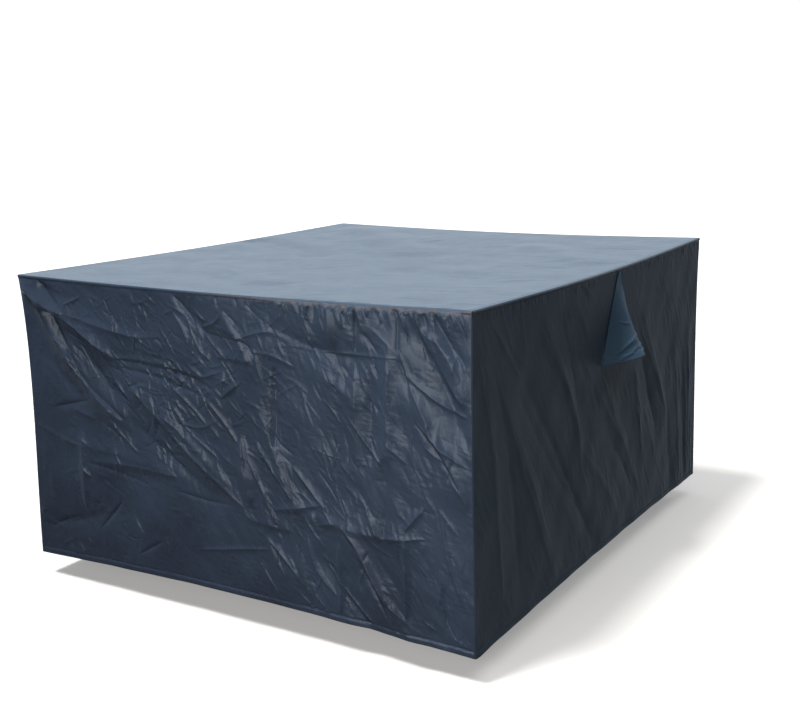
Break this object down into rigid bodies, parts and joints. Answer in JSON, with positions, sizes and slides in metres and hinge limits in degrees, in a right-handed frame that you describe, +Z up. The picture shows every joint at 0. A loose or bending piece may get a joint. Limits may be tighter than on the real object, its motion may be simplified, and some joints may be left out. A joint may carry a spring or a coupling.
{
  "type": "patio furniture cover",
  "caption": "Fitted box cover of coated cloth: a flat top, four creased side panels with a free hem, and a vent hood on one side.",
  "frame": {"origin": "underside of the top at its middle, where the covered furniture carries the cover", "axes": "+Z up; -Y out of the front; +X out of the side with the vent hood"},
  "size_m": [1.5879, 1.6834, 0.85],
  "materials": {
    "top_cloth": "coated plain weave, soft sheen",
    "wall_cloth": "coated plain weave, soft sheen",
    "hood_cloth": "coated plain weave, soft sheen"
  },
  "bodies": {
    "root": {"top_panel": "top_cloth", "front_panel": "wall_cloth", "right_panel": "wall_cloth", "back_panel": "wall_cloth", "left_panel": "wall_cloth", "vent_hood": "hood_cloth"}
  },
  "joints": []
}
